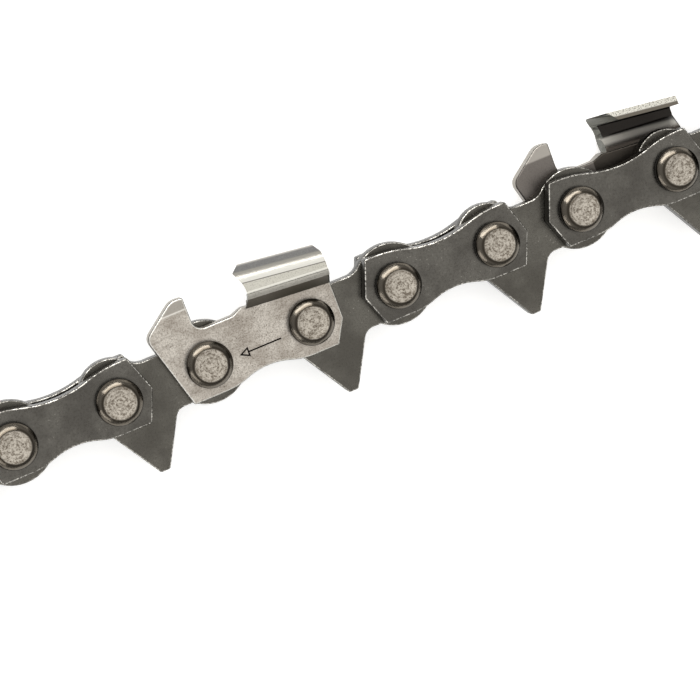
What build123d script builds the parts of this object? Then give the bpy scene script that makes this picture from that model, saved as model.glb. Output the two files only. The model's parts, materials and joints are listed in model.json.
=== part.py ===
# Saw chain loop of low-profile pitch, laid on its side with two straight runs and two round ends.
# The chain is drive links and side links in turn, pinned by rivets that each drive link swings on.
# A side link is two plates held by two rivets: a cutter and a tie strap, or two tie straps.
# Frame: millimetres, +Z up, origin under the middle of the loop on the surface that it lies on.
# The straight runs lie along X. Cutters point out of the loop, and the tangs of the drive links point in.
# In a link's own frame, +X runs back along the chain, +Y out of the loop, and Z = 0 is the chain's middle.

import os
from math import acos, atan2, cos, hypot, radians, sin, tan

from build123d import *

# The chain
pitch = 9.32  # half the distance over three rivets
strap_spacing = 9.96  # rivet to rivet in a tie strap or a cutter
sequences = 7  # each is a left cutter, a tie strap, a right cutter and a tie strap, and four drive links
bend_pivot_count = 5  # rivets that share the bend in each quarter of the loop

# Thicknesses and fits
gauge = 1.27  # drive link, with its tang
plate = 1.2  # tie straps and the body of the cutters
side_play = 0.05  # between a drive link and the plate on each side of it
swing_clearance = 0.04  # between a rivet's hub and the drive link's hole, on the radius

# Rivet
hub_radius = 1.95
shank_radius = 1.6
head_radius = 2.12
head_height = 1.15
head_rim = 0.45  # height of the head's upright rim, under its rounded shoulder
head_flat_radius = 1.55

# Tie strap
strap_end = 3.27  # from a rivet to the strap's pointed end
strap_corner = 2.1  # from a rivet to the corners of the strap's end
strap_top = 3.3  # corners over the rivet line
strap_foot = 2.95  # flat feet under the rivet line, also the cutter's, which the chain slides on
strap_waist_top = 2.35
strap_waist_bottom = 2.2
top_flat = 1.2  # from a rivet out to where the top edge starts down to the waist
foot_flat = 0.7  # from a rivet in to where the foot starts up to the waist

# Drive link
rear_ear_radius = 3.8
front_ear_radius = 3.2
front_ear_rise = 0.55  # centre of the front ear over its rivet
saddle_height = 2.25  # top edge between the ears
saddle_share = 0.55  # radius of the saddle's two ends, as a share of its length
web_depth = 2.95  # bottom edge behind the tang
notch_radius = 1.1  # round seat for the sprocket tooth, between tang and web
tang_depth = 7.7
tang_tip_back = 1.34  # from the front rivet to the front of the tang's tip
tang_tip_width = 0.9
tang_tip_radius = 0.3
tang_root_back = 3.88  # from the rear rivet forward to the back of the tang at the web

# Cutter
gauge_top = 6.55  # depth gauge, over the rivet line
gauge_back = 0.07  # from the front rivet forward to the upright back of the depth gauge
gauge_crown = 1.1  # length of the depth gauge's top
crown_drop = 0.15  # by which the top falls towards its back
crown_radius = 1.5
gauge_shoulder = 4.1  # height at which the slope of the depth gauge meets the front
front_reach = 4.45  # from the front rivet to the foremost point
front_foot = 2.45  # from the front rivet to the front of the foot
front_radius = 1.0
gullet_height = 3.18
gullet_radius = 1.0
gullet_end = 3.5  # from the front rivet back to the end of the gullet's floor
tooth_foot = 0.65  # length of the rise from the floor to the tooth
heel_reach = 2.95  # from the rear rivet to the back of the cutter
heel_height = 0.8  # corner of the back, under the rivet line
heel_foot = 1.75  # from the rear rivet to the back of the foot
tooth_thickness = 0.85
tooth_height = 7.15  # inner edge of the top plate over the rivet line, above the middle of the link
tooth_tilt = 8  # degrees by which the top plate rises inwards
top_relief = 7.4  # degrees by which the top plate falls away to the back
jog_relief = 5.0  # degrees by which the foot of the side plate does
tooth_flare = 1.25  # how far the side plate stands out from the body
side_grind = 0.03  # taken off the side plate to make it flat
foot_sink = 0.03  # by which the foot of the tooth lies inside the body
tooth_width = 3.3  # top plate, across the chain
jog_height = 3.5  # where the side plate leaves the body, over the rivet line
jog_length = 1.1  # height over which it steps out
jog_radius = 0.7
corner_radius = 0.6  # bend between side plate and top plate, at the middle of the sheet
side_flat = 0.05  # least height of the side plate that the two bends leave flat
hollow_radius = 2.6  # round face ground into the front of the tooth
hollow_height = 5.0  # its deepest line over the rivet line
hollow_back = 0.3  # its deepest point on the side plate, behind the middle of the link
hollow_angle = 20  # degrees that the face slants back from the side plate across the top plate

# Worked out from the sizes above
drive_spacing = 2 * pitch - strap_spacing
half_strap = strap_spacing / 2
half_drive = drive_spacing / 2
inner_face = gauge / 2 + side_play
outer_face = inner_face + plate
middle_height = outer_face + max(tooth_flare, head_height)
side_link_count = 4 * sequences
link_count = 2 * side_link_count
straight_pivot_count = 2 * sequences - bend_pivot_count


def waisted_edge(flat_end, edge_height, waist_height):
    # Half of a waisted edge in the open line: two equal arcs from the flat to the middle of the link.
    middle = (flat_end / 2, (edge_height + waist_height) / 2)
    TangentArc((flat_end, edge_height), middle, tangent=(-flat_end, 0))
    TangentArc((0, waist_height), middle, tangent=(flat_end, 0))


def tangent_point(centre, radius, point):
    # Where the line from a point under a circle touches the circle's front.
    across, up = point[0] - centre[0], point[1] - centre[1]
    angle = atan2(up, across) - acos(radius / hypot(across, up))
    return centre[0] + radius * cos(angle), centre[1] + radius * sin(angle)


# Tie strap, as the upper plate of a side link
with BuildPart() as tie_strap:
    with BuildSketch(Plane.XY.offset(inner_face)):
        with BuildLine():
            corner_x = half_strap + strap_corner
            waisted_edge(half_strap + top_flat, strap_top, strap_waist_top)
            Polyline(
                (half_strap + top_flat, strap_top),
                (corner_x, strap_top),
                (half_strap + strap_end, 0),
                (corner_x, -strap_foot),
                (half_strap - foot_flat, -strap_foot),
            )
            waisted_edge(half_strap - foot_flat, -strap_foot, -strap_waist_bottom)
            mirror(about=Plane.YZ)
        make_face()
        with Locations((-half_strap, 0), (half_strap, 0)):
            Circle(shank_radius, mode=Mode.SUBTRACT)
    extrude(amount=plate)

# Rivet: a hub that the drive link swings on, and at each end a shank with a spun head
with BuildPart() as rivet:
    with BuildSketch(Plane.XZ):
        with BuildLine():
            head_top = outer_face + head_height
            Polyline(
                (0, 0),
                (hub_radius, 0),
                (hub_radius, inner_face),
                (shank_radius, inner_face),
                (shank_radius, outer_face),
                (head_radius, outer_face),
                (head_radius, outer_face + head_rim),
            )
            TangentArc((head_radius, outer_face + head_rim), (head_flat_radius, head_top), tangent=(0, 1))
            Polyline((head_flat_radius, head_top), (0, head_top), (0, 0))
        make_face()
    revolve(axis=Axis.Z)
    mirror(about=Plane.XY)

# Drive link: two round ears on the rivets, and a pointed tang with the sprocket tooth's seat behind it
with BuildPart() as drive_link:
    with BuildSketch(Plane.XY.offset(-gauge / 2)) as drive_outline:
        with Locations((-half_drive, front_ear_rise)):
            Circle(front_ear_radius)
        with Locations((half_drive, 0)):
            Circle(rear_ear_radius)
        with BuildLine():
            tip_front = (tang_tip_back - half_drive, -tang_depth)
            tip_back = (tip_front[0] + tang_tip_width, -tang_depth)
            tang_root = (half_drive - tang_root_back, -web_depth)
            Polyline(
                (-half_drive, saddle_height),
                (half_drive, saddle_height),
                (half_drive, -web_depth),
                tang_root,
                tip_back,
                tip_front,
                tangent_point((-half_drive, front_ear_rise), front_ear_radius, tip_front),
                close=True,
            )
        make_face()
        saddle_ends = drive_outline.vertices().sort_by_distance((0, saddle_height))[:2]
        fillet(saddle_ends, saddle_share * saddle_ends[0].distance_to(saddle_ends[1]))
        fillet(drive_outline.vertices().sort_by_distance(tang_root)[:1], notch_radius)
        fillet(drive_outline.vertices().sort_by_distance(tip_back)[:2], tang_tip_radius)
        with Locations((-half_drive, 0), (half_drive, 0)):
            Circle(hub_radius + swing_clearance, mode=Mode.SUBTRACT)
    extrude(amount=gauge)

# Tooth of a left-hand cutter: side plate and top plate bent from one strip, ground flat on the side plate,
# with its front filed hollow
jog_slope = tan(radians(jog_relief))
top_slope = tan(radians(top_relief))
heel_x = half_strap + heel_reach
side_face = outer_face + tooth_flare
sheet_middle = tooth_thickness / 2
side_middle = side_face + side_grind - sheet_middle
foot_middle = outer_face - foot_sink - sheet_middle
edge_y = tooth_height - sheet_middle
bend_y = edge_y - (tooth_width - sheet_middle) * tan(radians(tooth_tilt))
jog_turn = atan2(side_middle - foot_middle, jog_length)
bend_room = jog_radius * tan(jog_turn / 2) + corner_radius * tan(radians(90 - tooth_tilt) / 2)
side_room = bend_y - jog_height - jog_length - heel_x * (top_slope - jog_slope) - side_flat
bend_share = min(1, side_room / bend_room)  # the bends stay within the side plate, which is lowest at the heel
hollow_side = Vector(1, 0, 0).rotate(Axis.Y, -hollow_angle)
hollow_middle = (hollow_back - hollow_radius / cos(radians(hollow_angle)), hollow_height, side_face)
hollow_plane = Plane(hollow_middle, x_dir=hollow_side, z_dir=hollow_side.cross(Vector(0, 1, 0)))
straight_plane = Plane((hollow_back - hollow_radius, hollow_height, 0))
with BuildPart() as tooth:
    for x in (-half_strap, heel_x):
        with BuildSketch(Plane((x, 0, 0), x_dir=(0, 0, 1), z_dir=(-1, 0, 0))):
            with BuildLine():
                FilletPolyline(
                    (foot_middle, 0),
                    (foot_middle, jog_height - x * jog_slope),
                    (side_middle, jog_height + jog_length - x * jog_slope),
                    (side_middle, bend_y - x * top_slope),
                    (side_face - tooth_width, edge_y - x * top_slope),
                    radius=[bend_share * radius for radius in (jog_radius, jog_radius, corner_radius)],
                )
            trace(line_width=tooth_thickness)
    loft(ruled=True)
    split(bisect_by=Plane((0, 0, side_face)), keep=Keep.BOTTOM)
    for front_plane, kept_below in ((hollow_plane, True), (straight_plane, False)):
        with BuildSketch(front_plane):
            Circle(hollow_radius)
            Rectangle(tooth_height, 2 * tooth_height, align=(Align.MAX, Align.CENTER))
            with Locations((0, jog_height + jog_length - hollow_height)):
                kept = (Align.CENTER, Align.MAX if kept_below else Align.MIN)
                Rectangle(4 * tooth_height, 2 * tooth_height, align=kept, mode=Mode.SUBTRACT)
        extrude(amount=2 * tooth_width + plate, both=True, mode=Mode.SUBTRACT)

# Left-hand cutter: the strap-like body with the depth gauge at its front, and the tooth
with BuildPart() as left_cutter:
    with BuildSketch(Plane.XY.offset(inner_face)) as cutter_outline:
        with BuildLine():
            gauge_back_x = -half_strap - gauge_back
            gullet_back_x = gullet_end - half_strap
            tooth_foot_x = gullet_back_x + tooth_foot
            front_corner = (-half_strap - front_reach, gauge_shoulder)
            crown_front = (gauge_back_x - gauge_crown, gauge_top)
            crown_back = (gauge_back_x, gauge_top - crown_drop)
            gullet_corner = (gauge_back_x, gullet_height)
            Polyline(
                (-half_strap + foot_flat, -strap_foot),
                (-half_strap - front_foot, -strap_foot),
                front_corner,
                crown_front,
                crown_back,
                gullet_corner,
                (gullet_back_x, gullet_height),
                (tooth_foot_x, jog_height - tooth_foot_x * jog_slope),
                (heel_x, jog_height - heel_x * jog_slope),
                (heel_x, -heel_height),
                (half_strap + heel_foot, -strap_foot),
                (half_strap - foot_flat, -strap_foot),
            )
            waisted_edge(half_strap - foot_flat, -strap_foot, -strap_waist_bottom)
            waisted_edge(foot_flat - half_strap, -strap_foot, -strap_waist_bottom)
        make_face()
        fillet(cutter_outline.vertices().sort_by_distance(gullet_corner)[:1], gullet_radius)
        fillet(cutter_outline.vertices().sort_by_distance(front_corner)[:1], front_radius)
        fillet(cutter_outline.vertices().sort_by_distance(crown_front)[:1], crown_radius)
    extrude(amount=plate)
    add(tooth.part)
    with BuildSketch(Plane.XY.offset(inner_face)):
        with Locations((-half_strap, 0), (half_strap, 0)):
            Circle(shank_radius)
    extrude(amount=plate, mode=Mode.SUBTRACT)

# A right-hand cutter is the left one mirrored to the other side of the chain
with BuildPart() as right_cutter:
    add(mirror(left_cutter.part, about=Plane.XY))

# Where each link lies: its middle and its heading, from a cutter link in the middle of one run
quarter = [0] * straight_pivot_count + [90 / bend_pivot_count] * bend_pivot_count
turns = 2 * (quarter + quarter[::-1])
places = []
start, heading = Vector(0, 0, middle_height), 0
for number, turn in enumerate(turns):
    step = Vector(drive_spacing if number % 2 else strap_spacing, 0, 0).rotate(Axis.Z, heading)
    places.append((start + step / 2, heading))
    start, heading = start + step, heading - turn
loop_middle = sum((place for place, _ in places), Vector()) / link_count
loop_middle.Z = 0


def side_link(upper, lower):
    # The solids of a side link: its two plates and the two rivets through them.
    rivets = [rivet.part.moved(Location((x, 0, 0))) for x in (-half_strap, half_strap)]
    return [upper, lower, *rivets]


upper_strap = tie_strap.part
lower_strap = upper_strap.moved(Location((0, 0, -inner_face - outer_face)))
kinds = [
    ("left_cutter_link", side_link(left_cutter.part, lower_strap)),
    ("tie_strap_link", side_link(upper_strap, lower_strap)),
    ("right_cutter_link", side_link(upper_strap, right_cutter.part)),
    ("tie_strap_link", side_link(upper_strap, lower_strap)),
]

os.makedirs("parts", exist_ok=True)
made = {}
for number, (middle, heading) in enumerate(places):
    kind, solids = ("drive_link", [drive_link.part]) if number % 2 else kinds[number // 2 % 4]
    made[kind] = made.get(kind, 0) + 1
    spot = Location(middle - loop_middle, (0, 0, heading))
    name = f"{kind}_{made[kind]:02d}"
    link = Compound(label=name, children=[solid.moved(spot) for solid in solids])
    export_step(link, f"parts/{name}.step")
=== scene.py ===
# Saw chain loop, dressed for the render. The scene is in metres, and a link's own frame in millimetres.
import json
from math import atan2, cos, hypot, pi, radians, sin, tan

import bmesh
import bpy
from mathutils import Matrix, Vector


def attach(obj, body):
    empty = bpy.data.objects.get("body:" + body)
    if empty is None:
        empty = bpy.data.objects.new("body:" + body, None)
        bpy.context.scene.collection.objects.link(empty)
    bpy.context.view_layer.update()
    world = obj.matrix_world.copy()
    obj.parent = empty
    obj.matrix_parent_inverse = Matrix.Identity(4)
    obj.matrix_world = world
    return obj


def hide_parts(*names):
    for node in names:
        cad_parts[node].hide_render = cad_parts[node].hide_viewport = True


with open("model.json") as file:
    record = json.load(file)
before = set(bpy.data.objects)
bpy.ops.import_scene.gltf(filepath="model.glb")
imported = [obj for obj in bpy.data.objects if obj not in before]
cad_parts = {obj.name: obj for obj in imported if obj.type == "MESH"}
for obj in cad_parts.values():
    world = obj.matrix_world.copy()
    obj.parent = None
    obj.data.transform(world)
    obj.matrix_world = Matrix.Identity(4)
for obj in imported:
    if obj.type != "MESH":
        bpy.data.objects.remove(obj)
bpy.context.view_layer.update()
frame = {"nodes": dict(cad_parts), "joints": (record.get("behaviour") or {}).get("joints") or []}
scene = bpy.context.scene
print("saw chain: frame loaded with", len(frame["nodes"]), "links")

mathNode, mapNode, mixNode = "ShaderNodeMath", "ShaderNodeMapRange", "ShaderNodeMix"
noiseNode, attributeNode, splitNode = "ShaderNodeTexNoise", "ShaderNodeAttribute", "ShaderNodeSeparateXYZ"
eased = {"interpolation_type": "SMOOTHSTEP"}
asColour = {"data_type": "RGBA", "out": 2}
times, timesPlus, minus = ({"operation": word} for word in ("MULTIPLY", "MULTIPLY_ADD", "SUBTRACT"))


def hexColour(code):  # sRGB hex to linear
    parts = [int(code[i : i + 2], 16) / 255 for i in (1, 3, 5)]
    return (*[p / 12.92 if p <= 0.04045 else ((p + 0.055) / 1.055) ** 2.4 for p in parts], 1)


def addNode(tree, kind, inputs, out=0, **settings):  # gives back the socket that comes out, or all of them
    node = tree.nodes.new(kind)
    stops = settings.pop("stops", [])  # places and colours along a ramp
    for name, value in settings.items():
        setattr(node, name, value)
    for number, (place, code) in enumerate(stops):
        ramp = node.color_ramp.elements
        element = ramp[number] if number < len(ramp) else ramp.new(1)
        element.position, element.color = place, hexColour(code)
    for socket, value in inputs.items() if isinstance(inputs, dict) else enumerate(inputs):
        if isinstance(value, bpy.types.NodeSocket):
            tree.links.new(value, node.inputs[socket])
        else:
            isHex = isinstance(value, str) and value.startswith("#")
            node.inputs[socket].default_value = hexColour(value) if isHex else value
    return node.outputs if out is None else node.outputs[out]


def startFinish(look):  # a bare material, with what its masks can measure: worked parts and noises
    material = bpy.data.materials.new(look["name"])
    material.use_nodes = True
    tree = material.node_tree
    tree.nodes.clear()
    place = addNode(tree, "ShaderNodeTexCoord", {}, "Object")
    inMm = addNode(tree, "ShaderNodeMapping", {"Vector": place, "Scale": (1000, 1000, 1000)})
    seen = {name: addNode(tree, attributeNode, {}, "Fac", attribute_name=name) for name in look["parts"]}
    for name, (sizeMm, detail, roughness) in look["noises"].items():
        grit = {"Vector": inMm, "Scale": 1 / sizeMm, "Detail": detail, "Roughness": roughness}
        seen[name] = addNode(tree, noiseNode, grit)
    return material, tree, seen


def maskFinish(tree, look, seen):  # masks ease from one measure to another, and joined masks multiply
    for name, span in look["masks"].items():
        seen[name] = addNode(tree, mapNode, [seen.get(value, value) for value in span], **eased)
    for name, (first, *others) in look["joined"].items():
        seen[name] = seen[first]
        for other in others:
            seen[name] = addNode(tree, mathNode, (seen[name], seen[other]), **times)


def layFinish(tree, look, seen, metal=1):  # lays the colours over each other, then makes the steel
    colour = look["base"]
    for over, first, *others in look["layers"]:
        share = seen[first]
        for other in others:
            share = addNode(tree, mathNode, (share, seen.get(other, other)), **times)
        colour = addNode(tree, mixNode, {0: share, 6: colour, 7: seen.get(over, over)}, **asColour)
    relief, strength, depth = look["bump"]
    bump = addNode(tree, "ShaderNodeBump", {"Height": seen[relief], "Strength": strength, "Distance": depth})
    steel = {"Base Color": colour, "Metallic": metal, "Roughness": seen["roughness"], "Normal": bump}
    shader = addNode(tree, "ShaderNodeBsdfPrincipled", steel)
    addNode(tree, "ShaderNodeOutputMaterial", {"Surface": shader}, None)


# Plated carbon steel, stamped and satin finished: warm pale grey with soft blotches, brown specks and faint
# streaks. The tooth is paler on its side; over its top, painted dark and light bands stand in for shade and
# reflections, and its jog has painted black shade with bright painted highlight lines; it is torn where it was
# sheared. Walls and outer broken edges take painted shade, and edges by the outer face are worn bright with a
# painted highlight. In mm: along the link from its middle, high above its rivets, and out from the chain's
# middle.
cutterFinish = {
    "name": "platedCutterSteel",
    "parts": ("edgeWear", "edgeShade", "inner", "sheared", "ground", "wall", "mark"),
    "noises": {  # size in mm, detail, roughness
        "blotch": (2.4, 3, 0.6),
        "grain": (0.11, 3, 0.65),  # coarser than the real grit, so that it shows
        "cluster": (1.3, 3, 0.6),
        "speckle": (0.12, 2, 0.6),
    },
    "streaks": (0.35, 4, 0.6),
    "drawn": (0.14, 1, 1),
    "reliefDeg": {"overJog": 5.0, "overTop": 7.4},  # heights that fall away to the back, as the tooth does
    "tones": {  # measure, raggedness, its start and end, and the tones between them
        # painted reflections and shade across the top plate: light at its inner edge, dark over its middle,
        # bright at the bend
        "topPaintedShading": (
            "out",
            0.1,
            -0.15,
            3.19,
            [
                (0, "#f0eee8"),
                (0.1, "#a09d96"),
                (0.26, "#33302c"),
                (0.72, "#2b2925"),
                (0.82, "#807d76"),
                (0.94, "#8a8780"),
                (0.97, "#dedbd2"),
            ],
        ),
        # painted black shade in the jog's fold, with painted bright highlight lines on its rounded edges
        "jogPaintedShading": (
            "overJog",
            0.16,
            3.28,
            5.02,
            [
                (0, "#48443b"),
                (0.55, "#5a554b"),
                (0.6, "#c4c0b5"),
                (0.64, "#8a867e"),
                (0.83, "#8f8b82"),
                (0.86, "#2a2723"),
                (0.91, "#dedbd0"),
                (1, "#e6e3d9"),
            ],
        ),
    },
    "masks": {  # measure, where it starts and ends, and the shares there if not 0 and 1
        "pale": ("blotch", 0.35, 0.65),
        "streak": ("streaks", 0.52, 0.72, 0, 0.45),
        "grit": ("grain", 0.34, 0.6, 0.55, 0),
        "speckPeak": ("speckle", 0.58, 0.7),
        "inCluster": ("cluster", 0.4, 0.6),
        "onGauge": ("along", -4.8, -5.0),
        "crownBand": ("high", 5.45, 5.55),
        "bandGrit": ("grain", 0.3, 0.6, 0.3, 0.9),
        "lineFrom": ("high", 5.25, 5.4),
        "lineTo": ("high", 5.5, 5.42),
        "onSide": ("out", 3.0, 3.1),
        "pit": ("grain", 0.46, 0.36, 0, 0.5),
        "behindGullet": ("along", -1.51, -1.49),
        "overBend": ("overTop", 5.77, 5.79),
        "foldFrom": ("overTop", 5.74, 5.79),
        "foldTo": ("overTop", 5.87, 5.82),
        "belowSide": ("overJog", 4.95, 4.93),
        "offBody": ("out", 1.89, 1.91),
        "roughFrom": ("overJog", 4.22, 4.3),
        "roughTo": ("overJog", 4.72, 4.66),
        "roughGrit": ("grain", 0.36, 0.52, 0.2, 1),
        "lowJogTo": ("overJog", 4.28, 4.22),
        "innerGrit": ("grain", 0.35, 0.6, 0.2, 0),
        "jogFrom": ("overJog", 3.75, 4.3),
        "jogTo": ("overJog", 4.8, 4.5),
        "underJog": ("overJog", 4.2, 3.8),
        "crownInner": ("high", 5.2, 5.4),
        "underTop": ("overTop", 4.6, 4.95),
        "torn": ("overTop", 6.58, 6.7),
        "tornGrit": ("grain", 0.36, 0.5),
        "outerFace": ("out", 1.2, 1.4),
        "rubAndHighlightGrit": ("grain", 0.3, 0.55, 0.3, 0.9),
        "shadeGrit": ("grain", 0.3, 0.5, 0.7, 1),
        "roughness": ("grain", 0.3, 0.7, 0.28, 0.44),
    },
    "joined": {
        "specks": ("speckPeak", "inCluster"),
        "onJog": ("belowSide", "offBody"),
        "roughBand": ("roughFrom", "roughTo", "onJog", "roughGrit"),
        "paintedLightInJog": ("jogFrom", "jogTo", "inner", "behindGullet"),
        "lowOnJog": ("lowJogTo", "onJog"),
    },
    "base": "#b0a89d",
    "layers": [  # from the bottom up: a colour, and the masks and share that hold it
        ("#cfc8bd", "pale"),
        ("#8d857b", "streak"),
        ("#5d5145", "grit"),
        ("#564a3f", "specks"),
        ("#a09b92", "crownBand", "bandGrit", "onGauge"),  # painted shade of the depth gauge's rolled-over crown edge
        # painted highlight line below the gauge's crown
        ("#f0ede4", "lineFrom", "lineTo", "onGauge", 0.6),
        ("#cfccc0", "onSide", 0.85),  # side plate
        ("#5d5145", "pit", "onSide"),
        # painted reflections and shade over the top plate
        ("topPaintedShading", "overBend", "behindGullet"),
        # painted shade line along the fold at the bend
        ("#3c3832", "foldFrom", "foldTo", "behindGullet", 0.8),
        # painted shade and highlights across the jog
        ("jogPaintedShading", "onJog"),
        ("#aeaaa0", "roughBand"),
        ("#77716b", "inner"),
        ("#0b0907", "inner", "innerGrit"),
        ("#39342e", "inner", "underJog", "behindGullet", 0.85),
        # painted light: a pale matt patch inside the jog stands in for a reflection
        ("#b3afa6", "paintedLightInJog"),
        # painted highlight along the inside of the gauge's rolled-over crown
        ("#b3ada4", "crownInner", "inner", "onGauge", 0.8),
        ("#0b0907", "inner", "underTop", "behindGullet", 0.85),  # painted shade under the top plate
        ("#6f695f", "sheared"),  # burnished half of the sheared edge
        ("#e2dfd3", "sheared", "torn", "tornGrit"),
        ("#6c6c66", "ground"),
        # painted shade on the walls
        ("#8d8982", "wall", 0.75),
        # edges worn bright, with a painted highlight
        ("#f0ede4", "edgeWear", "outerFace", "rubAndHighlightGrit"),
        ("#0e0c0a", "edgeShade", "shadeGrit"),
        ("#0f0c0a", "mark"),
    ],
    "matt": ("roughBand", "paintedLightInJog", "lowOnJog"),
    "mattness": 0.85,
    "bump": ("relief", 0.25, 0.00003),
}


def makeCutterSteel(look):
    material, tree, seen = startFinish(look)
    own = addNode(tree, attributeNode, {}, "Vector", attribute_name="linkSpace")
    seen["along"], seen["high"], seen["out"] = addNode(tree, splitNode, (own,), None)
    for name, degrees in look["reliefDeg"].items():
        seen[name] = addNode(tree, mathNode, (seen["along"], tan(radians(degrees)), seen["high"]), **timesPlus)
    for name, (measure, ragged, start, end, stops) in look["tones"].items():
        frayed = addNode(tree, mathNode, (seen["grain"], ragged, seen[measure]), **timesPlus)
        place = addNode(tree, mapNode, (frayed, start, end))
        seen[name] = addNode(tree, "ShaderNodeValToRGB", {"Fac": place}, stops=stops)
    sizeMm, detail, roughness = look["streaks"]
    drawn = addNode(tree, "ShaderNodeMapping", {"Vector": own, "Scale": look["drawn"]})
    grit = {"Vector": drawn, "Scale": 1 / sizeMm, "Detail": detail, "Roughness": roughness}
    seen["streaks"] = addNode(tree, noiseNode, grit)
    maskFinish(tree, look, seen)
    seen["relief"] = addNode(tree, mathNode, (seen["grain"], seen["specks"]), **minus)
    metal = 1
    for mask in look["matt"]:  # the rough band, the jog's lower part under its painted shade and the painted light patch inside the jog are less metallic
        metal = addNode(tree, mathNode, (seen[mask], -look["mattness"], metal), **timesPlus)
    layFinish(tree, look, seen, metal)
    return material


# Carbon steel, stamped, hardened and oil quenched: dark grey-brown with faint clouds and fine grain, with
# painted shade on the sheared walls and the outer broken edges, and bright ragged edges that are partly wear
# and partly a painted highlight.
strapFinish = {
    "name": "hardenedStrapSteel",
    "parts": ("edgeWear", "edgeShade", "wall"),
    "noises": {
        "cloud": (3.5, 4, 0.6),
        "grain": (0.13, 3, 0.65),  # coarser than the real grit, so that it shows
        "fleck": (0.16, 1, 0.6),
        "dots": (0.16, 3, 0.7),
        "runs": (1.1, 2, 0.6),
    },
    "masks": {
        "pale": ("cloud", 0.35, 0.65),
        "grit": ("grain", 0.3, 0.6, 0.45, 0),
        "fleckPeak": ("fleck", 0.68, 0.76),
        "inCloud": ("cloud", 0.45, 0.65),
        "edgeDot": ("dots", 0.4, 0.56),
        "edgeRun": ("runs", 0.36, 0.56, 0.22, 1),
        "roughness": ("grain", 0.3, 0.7, 0.22, 0.36),
    },
    "joined": {},
    "base": "#55524d",
    "layers": [
        ("#66635d", "pale"),
        ("#35322d", "grit"),
        ("#a8a49a", "fleckPeak", "inCloud", 0.6),
        # painted shade on the walls
        ("#24211d", "wall", 0.8),
        ("#24211d", "edgeShade", 0.8),
        # ragged edges worn bright, with a painted highlight
        ("#ece8de", "edgeWear", "edgeDot", "edgeRun"),
    ],
    "bump": ("grain", 0.25, 0.00002),
}
driveFinish = {
    **strapFinish,
    "name": "hardenedDriveSteel",
    "noises": {**strapFinish["noises"], "cloud": (4.5, 4, 0.6)},
    "base": "#55524c",
    "layers": [("#67645d", "pale"), *strapFinish["layers"][1:]],
}


def makeHardenedSteel(look):
    material, tree, seen = startFinish(look)
    maskFinish(tree, look, seen)
    layFinish(tree, look, seen)
    return material


# Rivet steel, spun over cold: a mottled disc with faint rings, ringed by a painted dark band of shade, a smooth
# shoulder darkened as painted shade that takes one sharp highlight from the light, and a flank painted dark as
# shade, black at the foot as a painted contact shadow. In mm: the radius, and high on the head.
rivetFinish = {
    "name": "spunRivetSteel",
    "parts": (),
    "noises": {"mottle": (0.4, 4, 0.6), "grain": (0.12, 3, 0.65)},
    "headStart": 1.885,
    "ringMm": 0.33,
    "ringWaver": 0.5,
    "ringDepth": 0.035,
    "discFray": 0.2,
    "mottleShare": 0.5,
    "grainShare": 0.5,
    "masks": {
        "pale": ("mixed", 0.38, 0.6),
        "grit": ("grain", 0.46, 0.32, 0, 0.75),
        "offDisc": ("frayed", 1.47, 1.68),
        "flank": ("high", 0.76, 0.5),
        "foot": ("high", 0.17, 0.06),
        "nearDisc": ("radius", 1.8, 1.6),
        "overFlank": ("high", 0.7, 0.8),
        "discGloss": ("grain", 0.3, 0.7, 0.26, 0.42),
        "roughness": ("offDisc", 0, 1, "discGloss", 0.16),
    },
    "joined": {},
    "base": "#71685c",
    "layers": [
        ("#c2baad", "pale"),
        ("#5d5247", "grit"),
        ("#625c53", "offDisc"),  # shoulder, darkened as painted shade
        # flank painted dark as shade
        ("#1f1a15", "offDisc", "flank"),
        # painted contact shadow at the foot
        ("#0c0a08", "offDisc", "foot"),
        ("#3a342c", "offDisc", "nearDisc", "overFlank", 0.85),  # painted shade ring round the disc
    ],
    "bump": ("mixed", 0.3, 0.00005),
}


def makeRivetSteel(look):
    material, tree, seen = startFinish(look)
    own = addNode(tree, attributeNode, {}, "Vector", attribute_name="rivetSpace")
    flat = addNode(tree, "ShaderNodeVectorMath", (own, (1, 1, 0)), **times)
    seen["radius"] = addNode(tree, "ShaderNodeVectorMath", (flat,), "Value", operation="LENGTH")
    tall = addNode(tree, mathNode, (addNode(tree, splitNode, (own,), 2),), operation="ABSOLUTE")
    seen["high"] = addNode(tree, mathNode, (tall, look["headStart"]), **minus)
    waver = addNode(tree, mathNode, (seen["mottle"], look["ringWaver"], seen["radius"]), **timesPlus)
    turn = addNode(tree, mathNode, (waver, 2 * pi / look["ringMm"]), **times)
    ring = addNode(tree, mathNode, (turn,), operation="SINE")
    mottled = addNode(tree, mathNode, (seen["mottle"], look["mottleShare"]), **times)
    mottled = addNode(tree, mathNode, (seen["grain"], look["grainShare"], mottled), **timesPlus)
    seen["mixed"] = addNode(tree, mathNode, (ring, look["ringDepth"], mottled), **timesPlus)
    seen["frayed"] = addNode(tree, mathNode, (seen["mottle"], look["discFray"], seen["radius"]), **timesPlus)
    maskFinish(tree, look, seen)
    layFinish(tree, look, seen)
    return material


cutterSteel = makeCutterSteel(cutterFinish)
strapSteel = makeHardenedSteel(strapFinish)
driveSteel = makeHardenedSteel(driveFinish)
rivetSteel = makeRivetSteel(rivetFinish)
print("saw chain: finishes made")

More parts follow.
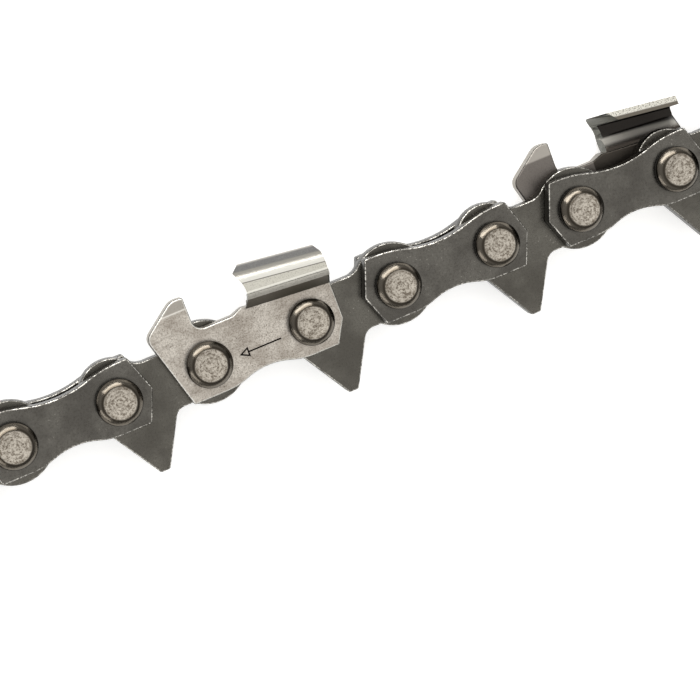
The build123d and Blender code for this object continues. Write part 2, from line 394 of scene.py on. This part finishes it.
# The links in chain order, each between the pivot in front of it and the one behind it.
chain = {
    "sideLinks": ("left_cutter_link", "tie_strap_link", "right_cutter_link", "tie_strap_link"),
    "openPivot": 29,
}
linkCount = len(frame["nodes"])
pivots = {int(j["name"][-2:]): Vector(j["pos_m"]) for j in frame["joints"]}
facing = pivots[(chain["openPivot"] + linkCount // 2 - 1) % linkCount + 1]
pivots[chain["openPivot"]] = Vector((-facing.x, -facing.y, facing.z))  # the loop looks the same turned by half
links, made = [], {}
for number in range(1, linkCount + 1):
    kind = chain["sideLinks"][number // 2 % 4] if number % 2 else "drive_link"
    made[kind] = made.get(kind, 0) + 1
    front, rear = pivots[(number - 2) % linkCount + 1], pivots[number]
    heading = atan2(rear.y - front.y, rear.x - front.x)
    name = f"{kind}_{made[kind]:02d}"
    links.append({"kind": kind, "name": name, "place": (front + rear) / 2, "heading": heading})
firstOf = {kind: next(link for link in links if link["kind"] == kind) for kind in made}

# Plates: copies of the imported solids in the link's own frame, with the edges broken. Sizes in mm.
plateSizes = {
    "rivetSpacing": 9.96,
    "holeRadius": 1.6,
    "headRadius": 2.12,
    "outerFace": 1.885,
    "bodyTop": 3.4,
    "merge": 0.025,
    "slack": 0.01,
    "cutSlack": 0.001,
    "flatSlack": 0.1,
    "flatDeg": 0.4,  # faces that differ by less are one
    "sharpDeg": 28,
    "smoothDeg": 38,
    "edgeSteps": 4,
    "wornAndLitFrom": 0.75,  # broken edges that face out more than this are worn bright and carry a painted highlight
    "upright": 0.15,  # and corners that face out less than this stay plain
    "holeWall": 0.1,
    "flat": 0.9999,
}
worked = {  # how much a face points out of the chain, up or back, and where it lies in mm
    "wallOut": 0.3,
    "innerOut": -0.3,
    "underTopUp": -0.8,
    "underTopOut": 0.1,
    "underTopFrom": 4,
    "shearedOut": -0.9,
    "shearedWithin": 0.3,
    "shearedFrom": 5,
    "groundBack": -0.6,
    "filedBack": -0.25,
}
tooth = {
    "topReliefDeg": 7.4,
    "bendStart": 2.6,
    "innerEdge": -0.2,
    "slant": 0.58,
    "front": -1.5,
    "edgeBreak": 0.05,
}
edgeBreak = {"strap": 0.12, "cutter": 0.14, "drive": 0.1}


def toLinkFrame(link):
    placed = Matrix.Translation(link["place"]) @ Matrix.Rotation(link["heading"], 4, "Z")
    return Matrix.Diagonal((1000, 1000, 1000, 1)) @ placed.inverted()


def axisDistance(point):
    return hypot(abs(point.x) - plateSizes["rivetSpacing"] / 2, point.y)


def isRivet(face):
    if any(axisDistance(v.co) > plateSizes["headRadius"] + plateSizes["slack"] for v in face.verts):
        return False
    middle = face.calc_center_median()
    axis = Vector((plateSizes["rivetSpacing"] / 2 * (1 if middle.x > 0 else -1), 0, middle.z))
    inHole = axisDistance(middle) < plateSizes["holeRadius"] + plateSizes["slack"]
    isWall = abs(face.normal.z) < plateSizes["holeWall"]
    return not (isWall and inHole and face.normal.dot(middle - axis) < 0)


def isTooth(point):
    return point.y > plateSizes["bodyTop"] and point.x > tooth["front"]


def markParts(shape, outside):  # how each face was worked or where it faces, for the finishes; walls take painted shade
    for name in ("inner", "sheared", "ground", "wall", "mark"):
        shape.faces.layers.float.new(name)
    layers = shape.faces.layers.float
    for face in shape.faces:
        middle, out = face.calc_center_median(), face.normal.z * (outside or 1)
        onTooth = outside and isTooth(middle)
        face[layers["wall"]] = 1 if abs(out) < worked["wallOut"] and not onTooth else 0
        if not outside:
            continue
        looksDown = face.normal.y < worked["underTopUp"] and out < worked["underTopOut"]
        underTop = looksDown and middle.y > worked["underTopFrom"]
        onEdge = middle.z * outside < worked["shearedWithin"] and middle.y > worked["shearedFrom"]
        face[layers["inner"]] = 1 if out < worked["innerOut"] or underTop else 0
        face[layers["sheared"]] = 1 if out < worked["shearedOut"] and onEdge else 0
        face[layers["ground"]] = 1 if face.normal.x < worked["groundBack"] and onTooth else 0


def slantFront(shape, outside):  # files the front of the top plate back towards its inner edge
    fronts = [face for face in shape.faces if face.normal.x < worked["filedBack"]]
    filed = {v for face in fronts for v in face.verts if isTooth(v.co)}
    fall = radians(tooth["topReliefDeg"])
    for v in filed:
        inward = max(0, tooth["bendStart"] - v.co.z * outside) / (tooth["bendStart"] - tooth["innerEdge"])
        v.co += Vector((cos(fall), -sin(fall), 0)) * tooth["slant"] * inward
    shape.normal_update()


def breakEdges(shape, edges, width, clamp):  # worn bright with a painted highlight by the flat face, painted dark shade further round
    steps = plateSizes["edgeSteps"]
    broken = bmesh.ops.bevel(
        shape, geom=edges, offset=width, segments=steps, profile=0.5, affect="EDGES", clamp_overlap=clamp
    )
    shape.normal_update()
    wornAndLit, shaded = shape.faces.layers.float["edgeWear"], shape.faces.layers.float["edgeShade"]
    for face in broken["faces"]:
        out = abs(face.normal.z)
        face[wornAndLit] = 1 if out > plateSizes["wornAndLitFrom"] else 0
        face[shaded] = 1 if out <= plateSizes["wornAndLitFrom"] and (clamp or out > plateSizes["upright"]) else 0


def makePlate(name, link, side, width, outside=None):
    shape = bmesh.new()
    shape.from_mesh(frame["nodes"][link["name"]].data)
    bmesh.ops.transform(shape, matrix=toLinkFrame(link), verts=shape.verts)
    shape.normal_update()
    if side:  # one of a side link's two plates, without the rivets
        others = []
        for face in shape.faces:
            middle = face.calc_center_median()
            mine = middle.z * side > 0 or (outside and middle.y > plateSizes["bodyTop"])
            if isRivet(face) or not mine:
                others.append(face)
        bmesh.ops.delete(shape, geom=others, context="FACES")
    bmesh.ops.remove_doubles(shape, verts=shape.verts, dist=plateSizes["merge"])
    whole = [*shape.verts, *shape.edges, *shape.faces]
    slack = plateSizes["cutSlack"]
    cut = bmesh.ops.bisect_plane(shape, geom=whole, dist=slack, plane_co=(0, 0, 0), plane_no=(0, 1, 0))
    for edge in cut["geom_cut"]:  # the flat faces part along the line through both holes, and nowhere else
        if isinstance(edge, bmesh.types.BMEdge):
            edge.seam = True
    flatness = radians(plateSizes["flatDeg"])
    verts, edges = shape.verts, shape.edges
    bmesh.ops.dissolve_limit(shape, angle_limit=flatness, verts=verts, edges=edges, delimit={"SEAM"})
    if outside:
        slantFront(shape, outside)
    for layer in ("edgeWear", "edgeShade"):
        shape.faces.layers.float.new(layer)
    bodyEdges, toothEdges = [], []
    for edge in shape.edges:
        nearRivet = min(axisDistance(v.co) for v in edge.verts) <= plateSizes["headRadius"]
        if nearRivet or len(edge.link_faces) != 2:
            continue
        if edge.calc_face_angle_signed() > radians(plateSizes["sharpDeg"]):
            onTooth = outside and all(isTooth(v.co) for v in edge.verts)
            (toothEdges if onTooth else bodyEdges).append(edge)
    breakEdges(shape, bodyEdges, width, clamp=False)
    breakEdges(shape, [edge for edge in toothEdges if edge.is_valid], tooth["edgeBreak"], clamp=True)
    markParts(shape, outside)
    openEdges = sum(len(e.link_faces) != 2 for e in shape.edges)
    mesh = bpy.data.meshes.new(name)
    shape.to_mesh(mesh)
    shape.free()
    plate = bpy.data.objects.new(name, mesh)
    scene.collection.objects.link(plate)
    print("saw chain: plate", name, len(mesh.polygons), "faces,", openEdges, "open edges")
    return plate


# Direction arrow, engraved on the outside of each cutter: a thin shaft and an open triangular head. In mm.
arrow = {
    "height": -0.35,
    "tail": 1.95,
    "headBase": -1.25,
    "tip": -1.97,
    "halfHead": 0.36,
    "stroke": 0.14,
    "depth": 0.06,
}


def makeArrow(look, outside):
    y, half, base, tail = look["height"], look["stroke"] / 2, look["headBase"], look["tail"]
    points = [Vector(p) for p in ((look["tip"], y), (base, y - look["halfHead"]), (base, y + look["halfHead"]))]
    sides = [(points[i - 2] - points[i - 1]).length for i in range(3)]  # each opposite its point
    middle = sum((p * s for p, s in zip(points, sides)), Vector((0, 0))) / sum(sides)
    inRadius = 2 * look["halfHead"] * (base - look["tip"]) / sum(sides)
    outer, inner = ([middle + (p - middle) * (1 + grow / inRadius) for p in points] for grow in (half, -half))
    neck = outer[1].x
    shaft = [Vector(p) for p in ((neck, y - half), (tail, y - half), (tail, y + half), (neck, y + half))]
    rim = [outer[0], outer[1], *shaft, outer[2]]
    shape = bmesh.new()
    floor = (plateSizes["outerFace"] - look["depth"]) * outside
    edges = []
    for loop in (rim, inner):
        corners = [shape.verts.new((p.x, p.y, floor)) for p in loop]
        edges += [shape.edges.new((corners[i - 1], corners[i])) for i in range(len(corners))]
    flat = bmesh.ops.triangle_fill(shape, use_beauty=True, edges=edges)["geom"]
    faces = [g for g in flat if isinstance(g, bmesh.types.BMFace)]
    raised = bmesh.ops.extrude_face_region(shape, geom=faces, use_keep_orig=True)["geom"]
    lifted = [g for g in raised if isinstance(g, bmesh.types.BMVert)]
    bmesh.ops.translate(shape, verts=lifted, vec=(0, 0, 2 * look["depth"] * outside))
    bmesh.ops.recalc_face_normals(shape, faces=shape.faces)
    marked = shape.faces.layers.float.new("mark")
    for face in shape.faces:
        face[marked] = 1
    mesh = bpy.data.meshes.new("arrow")
    shape.to_mesh(mesh)
    shape.free()
    tool = bpy.data.objects.new("arrow", mesh)
    scene.collection.objects.link(tool)
    return tool


def engrave(plate, tool):
    cut = plate.modifiers.new("arrow", "BOOLEAN")
    cut.operation, cut.solver, cut.object = "DIFFERENCE", "EXACT", tool
    graph = bpy.context.evaluated_depsgraph_get()
    cutPlate = plate.evaluated_get(graph)
    mesh = bpy.data.meshes.new_from_object(cutPlate, preserve_all_data_layers=True, depsgraph=graph)
    plate.modifiers.clear()
    plate.data = mesh
    bpy.data.objects.remove(tool)


def finishPlate(plate, outside=1):  # smooth shading, and each point's place in the link
    mesh = plate.data
    mesh.shade_smooth()
    mesh.set_sharp_from_angle(angle=radians(plateSizes["smoothDeg"]))
    shape = bmesh.new()
    shape.from_mesh(mesh)
    within = plateSizes["outerFace"] + plateSizes["flatSlack"]
    for edge in shape.edges:  # the flat faces stay flat up to their broken edges
        faces = edge.link_faces
        level = [abs(f.normal.z) > plateSizes["flat"] for f in faces]
        flat = [one and abs(f.calc_center_median().z) < within for one, f in zip(level, faces)]
        edge.smooth = edge.smooth and not (any(flat) and not all(flat))
    shape.to_mesh(mesh)
    shape.free()
    own = mesh.attributes.new("linkSpace", "FLOAT_VECTOR", "POINT")
    for point, vertex in zip(own.data, mesh.vertices):
        point.vector = (vertex.co.x, vertex.co.y, vertex.co.z * outside)


plates = {
    "leftCutter": makePlate("leftCutter", firstOf["left_cutter_link"], 1, edgeBreak["cutter"], outside=1),
    "rightCutter": makePlate("rightCutter", firstOf["right_cutter_link"], -1, edgeBreak["cutter"], outside=-1),
    "strapAbove": makePlate("strapAbove", firstOf["tie_strap_link"], 1, edgeBreak["strap"]),
    "strapBelow": makePlate("strapBelow", firstOf["tie_strap_link"], -1, edgeBreak["strap"]),
    "drive": makePlate("drive", firstOf["drive_link"], 0, edgeBreak["drive"]),
}
for name, outside in (("leftCutter", 1), ("rightCutter", -1)):
    engrave(plates[name], makeArrow(arrow, outside))
for name, plate in plates.items():
    finishPlate(plate, -1 if name == "rightCutter" else 1)
print("saw chain: plates made,", {n: len(o.data.polygons) for n, o in plates.items()}, "faces")

# Rivet, turned about its own axis: hub, shank and a spun head at each end. Sizes in mm.
rivetSizes = {
    "hubRadius": 1.95,
    "hubEnd": 0.685,
    "shankRadius": 1.6,
    "headStart": 1.885,
    "headRadius": 2.12,
    "footBreak": 0.06,
    "rim": 0.56,
    "headHeight": 1.15,
    "discRadius": 1.5,
    "shoulderBulge": 22,  # degrees
    "dish": 0.13,
    "rings": 12,
    "shoulderSteps": 9,
    "around": 48,
    "smoothDeg": 60,
}


def makeRivet(sizes):
    start, head, shank, foot = (sizes[n] for n in ("headStart", "headRadius", "shankRadius", "footBreak"))
    top = start + sizes["headHeight"]
    half = []
    for i in range(1, sizes["rings"] + 1):  # the disc, slightly dished
        share = i / sizes["rings"]
        half.append((share * sizes["discRadius"], top - sizes["dish"] * (1 - share**2)))
    rise, reach = sizes["headHeight"] - sizes["rim"], head - sizes["discRadius"]
    bulge = radians(sizes["shoulderBulge"])
    lean, radius = atan2(rise, reach), hypot(rise, reach) / 2 / sin(bulge / 2)
    for i in range(1, sizes["shoulderSteps"] + 1):  # the shoulder, a slightly bulging cone
        first, last = lean - bulge / 2, lean - bulge / 2 + bulge * i / sizes["shoulderSteps"]
        across, down = radius * (sin(last) - sin(first)), radius * (cos(first) - cos(last))
        half.append((sizes["discRadius"] + across, top - down))
    half += [(head, start + foot), (head - foot, start), (shank, start)]
    half += [(shank, sizes["hubEnd"]), (sizes["hubRadius"], sizes["hubEnd"])]
    profile = half + [(r, -z) for r, z in reversed(half)]
    shape = bmesh.new()
    turns = [2 * pi * i / sizes["around"] for i in range(sizes["around"])]
    rows = [[shape.verts.new((r * cos(t), r * sin(t), z)) for t in turns] for r, z in profile]
    for above, below in zip(rows, rows[1:]):
        for i in range(sizes["around"]):
            shape.faces.new((above[i - 1], below[i - 1], below[i], above[i]))
    for row, z in ((rows[0], top - sizes["dish"]), (rows[-1], sizes["dish"] - top)):
        pole = shape.verts.new((0, 0, z))
        for i in range(sizes["around"]):
            shape.faces.new((row[i - 1], row[i], pole))
    bmesh.ops.recalc_face_normals(shape, faces=shape.faces)
    own = shape.verts.layers.float_vector.new("rivetSpace")
    for v in shape.verts:
        v[own] = v.co
    for face in shape.faces:
        face.smooth = True
    mesh = bpy.data.meshes.new("rivet")
    shape.to_mesh(mesh)
    shape.free()
    mesh.set_sharp_from_angle(angle=radians(sizes["smoothDeg"]))
    rivet = bpy.data.objects.new("rivet", mesh)
    scene.collection.objects.link(rivet)
    return rivet


rivet = makeRivet(rivetSizes)
print("saw chain: rivet turned")


def newTree(name, sockets):
    tree = bpy.data.node_groups.new(name, "GeometryNodeTree")
    keys = {}
    for label, kind in sockets.items():
        socket = tree.interface.new_socket(label, in_out="INPUT", socket_type="NodeSocket" + kind)
        keys[label] = socket.identifier
    tree.interface.new_socket("Geometry", in_out="OUTPUT", socket_type="NodeSocketGeometry")
    return tree, addNode(tree, "NodeGroupInput", {}, None), keys


toMetres = (0.001, 0.001, 0.001)

# Link plates: the plate above and the plate below, set on the loop.
plateInputs = {
    "Plate Above": "Object",
    "Plate Below": "Object",
    "Finish Above": "Material",
    "Finish Below": "Material",
    "Place": "Vector",
    "Heading": "Vector",
}
plateTree, given, plateKeys = newTree("linkPlates", plateInputs)
onLoop = {"Translation": given["Place"], "Rotation": given["Heading"], "Scale": toMetres}
branches = []
for where in ("Above", "Below"):
    model = {"Object": given["Plate " + where]}
    plate = addNode(plateTree, "GeometryNodeObjectInfo", model, "Geometry", transform_space="ORIGINAL")
    seated = addNode(plateTree, "GeometryNodeTransform", {"Geometry": plate, **onLoop})
    real = addNode(plateTree, "GeometryNodeRealizeInstances", (seated,))
    finish = {"Geometry": real, "Material": given["Finish " + where]}
    branches.append(addNode(plateTree, "GeometryNodeSetMaterial", finish))
both = addNode(plateTree, "GeometryNodeJoinGeometry", {})
for branch in branches:
    plateTree.links.new(branch, both.node.inputs[0])
addNode(plateTree, "NodeGroupOutput", (both,), None)

# Rivets: a pair in each side link, each turned its own way and peened a little differently.
rivetInputs = {
    "Rivet": "Object",
    "Spacing": "Float",
    "Peening": "Float",
    "Seed": "Int",
    "Finish": "Material",
    "Place": "Vector",
    "Heading": "Vector",
}
peening = {"depth": 0.07, "blowMm": 0.77}
rivetTree, given, rivetKeys = newTree("spunRivets", rivetInputs)
halfBack = addNode(rivetTree, mathNode, (given["Spacing"], -0.5), **times)
first = addNode(rivetTree, "ShaderNodeCombineXYZ", (halfBack,))
step = addNode(rivetTree, "ShaderNodeCombineXYZ", (given["Spacing"],))
pair = addNode(rivetTree, "GeometryNodeMeshLine", {"Count": 2, "Start Location": first, "Offset": step})
model = {"Object": given["Rivet"], "As Instance": True}
shape = addNode(rivetTree, "GeometryNodeObjectInfo", model, "Geometry", transform_space="ORIGINAL")
fullTurn = {"Max": (0, 0, 2 * pi), "Seed": given["Seed"]}
spin = addNode(rivetTree, "FunctionNodeRandomValue", fullTurn, data_type="FLOAT_VECTOR")
onPoints = {"Points": pair, "Instance": shape, "Rotation": spin}
placed = addNode(rivetTree, "GeometryNodeInstanceOnPoints", onPoints)
real = addNode(rivetTree, "GeometryNodeRealizeInstances", (placed,))
spot = addNode(rivetTree, "GeometryNodeInputPosition", {})
blows = {"Vector": spot, "W": given["Seed"], "Scale": 1 / peening["blowMm"], "Detail": 2}
blow = addNode(rivetTree, noiseNode, blows, noise_dimensions="4D")
blow = addNode(rivetTree, mathNode, (blow, 0.5), **minus)
depth = addNode(rivetTree, mathNode, (blow, given["Peening"]), **times)
tall = addNode(rivetTree, mathNode, (addNode(rivetTree, splitNode, (spot,), 2),), operation="ABSOLUTE")
headFrom = rivetSizes["headStart"] + rivetSizes["rim"]
onHead = addNode(rivetTree, "FunctionNodeCompare", (tall, headFrom), operation="GREATER_THAN")
facingOut = addNode(rivetTree, "GeometryNodeInputNormal", {})
push = addNode(rivetTree, "ShaderNodeVectorMath", {0: facingOut, "Scale": depth}, operation="SCALE")
peened = addNode(rivetTree, "GeometryNodeSetPosition", {"Geometry": real, "Selection": onHead, "Offset": push})
onLoop = {"Translation": given["Place"], "Rotation": given["Heading"], "Scale": toMetres}
seated = addNode(rivetTree, "GeometryNodeTransform", {"Geometry": peened, **onLoop})
finished = addNode(rivetTree, "GeometryNodeSetMaterial", {"Geometry": seated, "Material": given["Finish"]})
addNode(rivetTree, "NodeGroupOutput", (finished,), None)

# One piece of plates for each body, and one of rivets for each side link.
dress = {
    "left_cutter_link": ("leftCutter", "strapBelow", cutterSteel, strapSteel, "cutter_steel"),
    "right_cutter_link": ("strapAbove", "rightCutter", strapSteel, cutterSteel, "cutter_steel"),
    "tie_strap_link": ("strapAbove", "strapBelow", strapSteel, strapSteel, "tie_strap_steel"),
    "drive_link": ("drive", None, driveSteel, driveSteel, "drive_link_steel"),
}
waiting = []
for number, link in enumerate(links):
    above, below, finishAbove, finishBelow, slot = dress[link["kind"]]
    pieceName = link["name"].replace("_link", "")
    spot = {"Place": link["place"], "Heading": (0, 0, link["heading"])}
    plateValues = {
        "Plate Above": plates[above],
        "Plate Below": plates.get(below),
        "Finish Above": finishAbove,
        "Finish Below": finishBelow,
    }
    jobs = [(pieceName, plateTree, plateKeys, slot, plateValues)]
    if below:
        rivetValues = {
            "Rivet": rivet,
            "Spacing": plateSizes["rivetSpacing"],
            "Peening": peening["depth"],
            "Seed": number,
            "Finish": rivetSteel,
        }
        jobs.append((pieceName + "_rivets", rivetTree, rivetKeys, "rivet_steel", rivetValues))
    for name, tree, keys, slot, values in jobs:
        piece = bpy.data.objects.new(name, bpy.data.meshes.new(name))
        scene.collection.objects.link(piece)
        nodes = piece.modifiers.new("nodes", "NODES")
        nodes.node_group = tree
        for label, value in {**values, **spot}.items():
            nodes[keys[label]] = value
        shading = piece.modifiers.new("shading", "WEIGHTED_NORMAL")
        shading.keep_sharp = True
        waiting.append((piece, link["name"], slot))
graph = bpy.context.evaluated_depsgraph_get()
for piece, node, slot in waiting:
    dressed = piece.evaluated_get(graph)
    mesh = bpy.data.meshes.new_from_object(dressed, preserve_all_data_layers=True, depsgraph=graph)
    piece.modifiers.clear()
    piece.data = mesh
    mesh.name = piece.name
for helper in (*plates.values(), rivet):
    bpy.data.objects.remove(helper)
for piece, node, slot in waiting:
    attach(piece, node)
    if not piece.name.endswith("_rivets"):
        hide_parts(node)
faceCount = sum(len(piece.data.polygons) for piece, _, _ in waiting)
print("saw chain:", len(waiting), "pieces on", linkCount, "links,", faceCount, "faces")

# Pale floor: white to the eye and in the metal, and it still takes the chain's shadow.
stage = {"floor": "#f2f1ee", "halfWidth": 4.0, "lift": 0.5}
floorMesh = bpy.data.meshes.new("floor")
w = stage["halfWidth"]
floorMesh.from_pydata([(-w, -w, 0), (w, -w, 0), (w, w, 0), (-w, w, 0)], [], [(0, 1, 2, 3)])
floor = bpy.data.objects.new("floor", floorMesh)
scene.collection.objects.link(floor)
floorPaint = bpy.data.materials.new("paleFloor")
floorPaint.use_nodes = True
tree = floorPaint.node_tree
tree.nodes.clear()
rays = addNode(tree, "ShaderNodeLightPath", {}, None)
seenRay = addNode(tree, mathNode, (rays["Is Camera Ray"], rays["Is Glossy Ray"]), operation="MAXIMUM")
anyRay = addNode(tree, mathNode, (seenRay, rays["Is Transmission Ray"]), operation="MAXIMUM")
lift = addNode(tree, mathNode, (anyRay, stage["lift"]), **times)
matt = addNode(tree, "ShaderNodeBsdfDiffuse", {"Color": stage["floor"]})
glow = addNode(tree, "ShaderNodeEmission", {"Color": "#ffffff", "Strength": lift})
paint = addNode(tree, "ShaderNodeAddShader", (matt, glow))
addNode(tree, "ShaderNodeOutputMaterial", {"Surface": paint}, None)
floorMesh.materials.append(floorPaint)

# Soft studio light: a pale dome, dimmer to the sides and dark at the horizon, with strip lights far and left.
light = {
    "top": 1.14,
    "farSide": 0.7,
    "nearSide": 0.62,
    "horizon": 0.25,
    "overhead": (0.66, 0.9),  # as the sine of the height over the horizon
    "sides": (0, 0.2),
    "nearToFar": (-0.2, 0.7),
    "strips": {  # watts, size and place
        "far": (2.1, (0.6, 0.14), (-0.04, 0.46, 0.19)),
        "left": (0.3, (0.4, 0.08), (-0.46, -0.22, 0.09)),
    },
}
world = bpy.data.worlds.new("studio")
scene.world = world
world.use_nodes = True
tree = world.node_tree
tree.nodes.clear()
look = addNode(tree, "ShaderNodeTexCoord", {}, "Generated")
_, far, up = addNode(tree, splitNode, (look,), None)
side = addNode(tree, mapNode, (far, *light["nearToFar"], light["nearSide"], light["farSide"]), **eased)
low = addNode(tree, mapNode, (up, *light["sides"], light["horizon"], side), **eased)
dome = addNode(tree, mapNode, (up, *light["overhead"], low, light["top"]), **eased)
sky = addNode(tree, "ShaderNodeBackground", {"Color": "#ffffff", "Strength": dome})
addNode(tree, "ShaderNodeOutputWorld", {"Surface": sky}, None)
for name, (watts, size, place) in light["strips"].items():
    strip = bpy.data.objects.new(name + "Strip", bpy.data.lights.new(name + "Strip", "AREA"))
    strip.data.shape = "RECTANGLE"
    strip.data.size, strip.data.size_y = size
    strip.data.energy = watts
    strip.location = place
    strip.rotation_euler = (-strip.location).to_track_quat("-Z", "Y").to_euler()
    scene.collection.objects.link(strip)

# Camera: a long lens, a little above the run and turned so that the chain climbs to the right.
shot = {
    "eye": (-0.034193, 0.069591, 0.211953),
    "turnDeg": (-7.0029, -14.7570, -20.7838),
    "lens": 122.997,
    "sensor": 36,
    "clip": (0.01, 20),
}
camera = bpy.data.objects.new("camera", bpy.data.cameras.new("camera"))
camera.data.lens, camera.data.sensor_width = shot["lens"], shot["sensor"]
camera.data.clip_start, camera.data.clip_end = shot["clip"]
camera.location = shot["eye"]
camera.rotation_euler = [radians(a) for a in shot["turnDeg"]]
scene.collection.objects.link(camera)
scene.camera = camera
scene.view_settings.view_transform = "Standard"
print("saw chain: stage, light and camera set")
